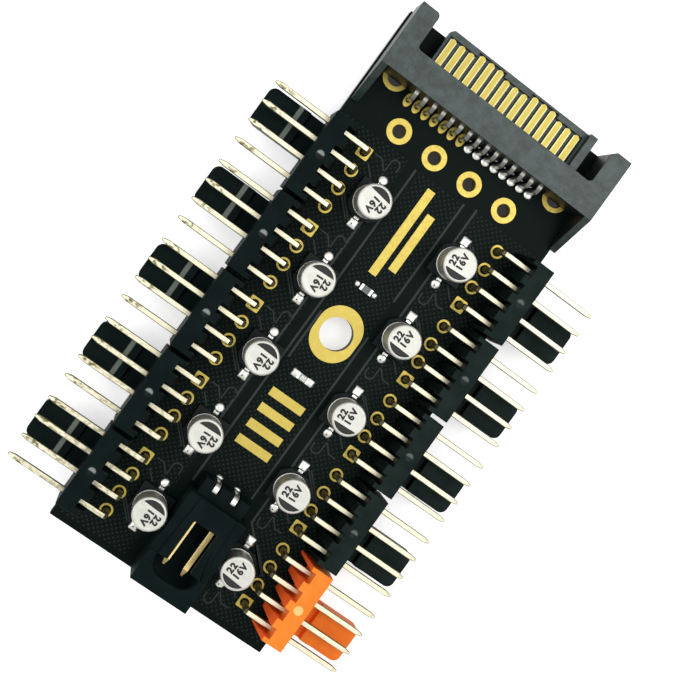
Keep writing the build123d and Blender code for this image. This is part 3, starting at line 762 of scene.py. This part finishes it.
def print_mesh():
    """The can's print: a dark segment at the negative side and two lines of numbers."""
    bm = bmesh.new()
    chord, reach = 0.88, 1.68
    half_angle = math.acos(chord / reach)
    arc = [-math.pi / 2 - half_angle + 2 * half_angle * i / 24 for i in range(25)]
    loops = []
    for z in (CAP_TOP - 0.03, CAP_TOP - 0.002):
        loops.append([(reach * math.cos(t), reach * math.sin(t), z) for t in arc])
    skin(bm, loops)
    for words, x, y in (("22", -0.92, 0.14), ("16V", 0.06, 0.38)):
        mesh = text_mesh(words, 1.08, x, y, math.pi / 2)
        bm.from_mesh(mesh)
        bpy.data.meshes.remove(mesh)
    bmesh.ops.remove_doubles(bm, verts=bm.verts, dist=1e-5)
    mesh = finished_mesh("capacitor_print", bm)
    mesh.materials.append(PRINT_BLACK)
    return mesh


CAN_TURNS = {"left_1": -8, "left_2": 3, "left_3": -2, "left_4": 2, "left_5": -3,
             "right_1": 4, "right_2": -2, "right_3": 3, "right_4": 1, "right_5": -5}
can = can_mesh()
can_print = print_mesh()
for name, row, x, y in capacitors:
    turn = math.radians(CAN_TURNS[name] + (180 if row == "left" else 0))
    place = Matrix.Translation((x * MM, y * MM, 0)) @ Matrix.Rotation(turn, 4, "Z")
    body = placed(f"can_{name}", can, place)
    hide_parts(f"capacitor_can_{name}")
    placed(f"can_print_{name}", can_print, place)

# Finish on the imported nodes: each takes its slot's material, and moulded or cut edges are eased
EDGE_WIDTHS = {
    "plug_plastic": 0.10,
    "header_black": 0.08,
    "header_orange": 0.08,
    "board_mask": 0.05,
    "base_black": 0.08,
    "gold_contact": 0.04,
    "tinned_pin": 0.12,
    "solder_tin": 0.03,
    "resistor_body": 0.03,
    "lamp_lens": 0.06,
}
for entry in frame["record"]["subparts"]:
    node = frame["nodes"][entry["node"]]
    slot = entry["material_slot"]
    node.data.materials.clear()
    node.data.materials.append(NODE_MATERIALS.get(entry["node"], MATERIALS[slot]))
    if node.hide_render:
        continue
    weld = node.modifiers.new("weld", "WELD")
    weld.merge_threshold = 0.000002
    # The two-pin header's roof has a window, which this step would close
    if entry["node"] != "two_pin_housing":
        flatten = node.modifiers.new("flatten", "DECIMATE")
        flatten.decimate_type = "DISSOLVE"
        flatten.angle_limit = math.radians(1)
    ease = node.modifiers.new("ease", "BEVEL")
    ease.width = EDGE_WIDTHS[slot] * MM
    ease.segments = 2
    ease.limit_method = "ANGLE"
    ease.angle_limit = math.radians(35)
    ease.harden_normals = True

# Floor, light and camera
floor_bm = bmesh.new()
bmesh.ops.create_grid(floor_bm, x_segments=1, y_segments=1, size=3.0)
floor_mesh = bpy.data.meshes.new("floor")
floor_bm.to_mesh(floor_mesh)
floor_bm.free()
floor = bpy.data.objects.new("floor", floor_mesh)
floor.location.z = cad_low.z
bpy.context.scene.collection.objects.link(floor)

# The paper's own glow for the camera, beside the board and below it. Below the board the paper has a painted
# shadow:
# a dark colour and little glow, apart from the spot that shows through the mounting hole.
FLOOR_LIFT = 0.50
FLOOR_LIFT_UNDER_BOARD = 0.03
paper = Nodes("floor_paper")
paper.set(Roughness=0.9, Specular_IOR_Level=0.1)
rays = paper.tree.nodes.new("ShaderNodeLightPath")
seen = paper.math("MAXIMUM", rays.outputs["Is Camera Ray"], rays.outputs["Is Glossy Ray"])
seen = paper.math("MAXIMUM", seen, rays.outputs["Is Transmission Ray"])
paper_x, paper_y, _ = paper.axes(paper.millimetres())
beside = paper.span(paper.math("ABSOLUTE", paper_x), 13.4, 14.6)
beside = paper.math("MAXIMUM", beside, paper.span(paper.math("ABSOLUTE", paper_y), 34.2, 35.4))
under_mount = paper.math("ADD", paper.math("ABSOLUTE", paper_x), paper.math("ABSOLUTE", paper_y))
beside = paper.math("MAXIMUM", beside, paper.span(under_mount, 5.0, 6.5, 1.0, 0.0))
lift = paper.span(beside, 0.0, 1.0, FLOOR_LIFT_UNDER_BOARD, FLOOR_LIFT)
# Painted shadow: the paper under the board is coloured dark
paper.set(Base_Color=paper.mix(beside, (0.10, 0.09, 0.07), (0.96, 0.96, 0.96)))
paper.set(Emission_Color=(1.0, 1.0, 1.0, 1.0), Emission_Strength=paper.math("MULTIPLY", seen, lift))
floor_mesh.materials.append(paper.material)

# The sky's strength as a light. The camera and reflections see it as full white.
SKY_FILL = 0.60
world = bpy.data.worlds.new("studio")
bpy.context.scene.world = world
world.use_nodes = True
sky = world.node_tree
backdrop = sky.nodes["Background"]
backdrop.inputs["Color"].default_value = (1.0, 1.0, 1.0, 1.0)
rays = sky.nodes.new("ShaderNodeLightPath")
seen = sky.nodes.new("ShaderNodeMath")
seen.operation = "MAXIMUM"
sky.links.new(rays.outputs["Is Camera Ray"], seen.inputs[0])
sky.links.new(rays.outputs["Is Glossy Ray"], seen.inputs[1])
seen_through = sky.nodes.new("ShaderNodeMath")
seen_through.operation = "MAXIMUM"
sky.links.new(seen.outputs[0], seen_through.inputs[0])
sky.links.new(rays.outputs["Is Transmission Ray"], seen_through.inputs[1])
level = sky.nodes.new("ShaderNodeMapRange")
level.inputs["To Min"].default_value = SKY_FILL
level.inputs["To Max"].default_value = 1.0
sky.links.new(seen_through.outputs[0], level.inputs["Value"])
sky.links.new(level.outputs["Result"], backdrop.inputs["Strength"])


def lamp(name, place, target, size, power):
    """A square soft light that faces a spot."""
    data = bpy.data.lights.new(name, "AREA")
    data.shape = "SQUARE"
    data.size = size
    data.energy = power
    obj = bpy.data.objects.new(name, data)
    bpy.context.scene.collection.objects.link(obj)
    obj.location = place
    obj.rotation_euler = (Vector(target) - Vector(place)).to_track_quat("-Z", "Y").to_euler()


lamp("key", (0.24, 0.18, 0.58), (0, 0, 0), 0.40, 1.55)
lamp("fill", (-0.42, -0.10, 0.55), (0, 0, 0), 0.45, 1.3)

CAMERA_PLACE = Vector((-24.0, 0.0, 154.0)) * MM
CAMERA_TARGET = Vector((2.37, -0.55, 0.0)) * MM
CAMERA_UP_ANGLE = math.radians(126.17)
CAMERA_LENS = 69.59
forward = (CAMERA_TARGET - CAMERA_PLACE).normalized()
right = forward.cross(Vector((math.cos(CAMERA_UP_ANGLE), math.sin(CAMERA_UP_ANGLE), 0))).normalized()
up = right.cross(forward)
camera_data = bpy.data.cameras.new("camera")
camera_data.lens = CAMERA_LENS
camera_data.sensor_width = 36
camera_data.clip_start = 0.01
camera_data.clip_end = 20
camera = bpy.data.objects.new("camera", camera_data)
bpy.context.scene.collection.objects.link(camera)
camera.matrix_world = Matrix.Translation(CAMERA_PLACE) @ Matrix((right, up, -forward)).transposed().to_4x4()
bpy.context.scene.camera = camera
bpy.context.scene.view_settings.view_transform = "Standard"
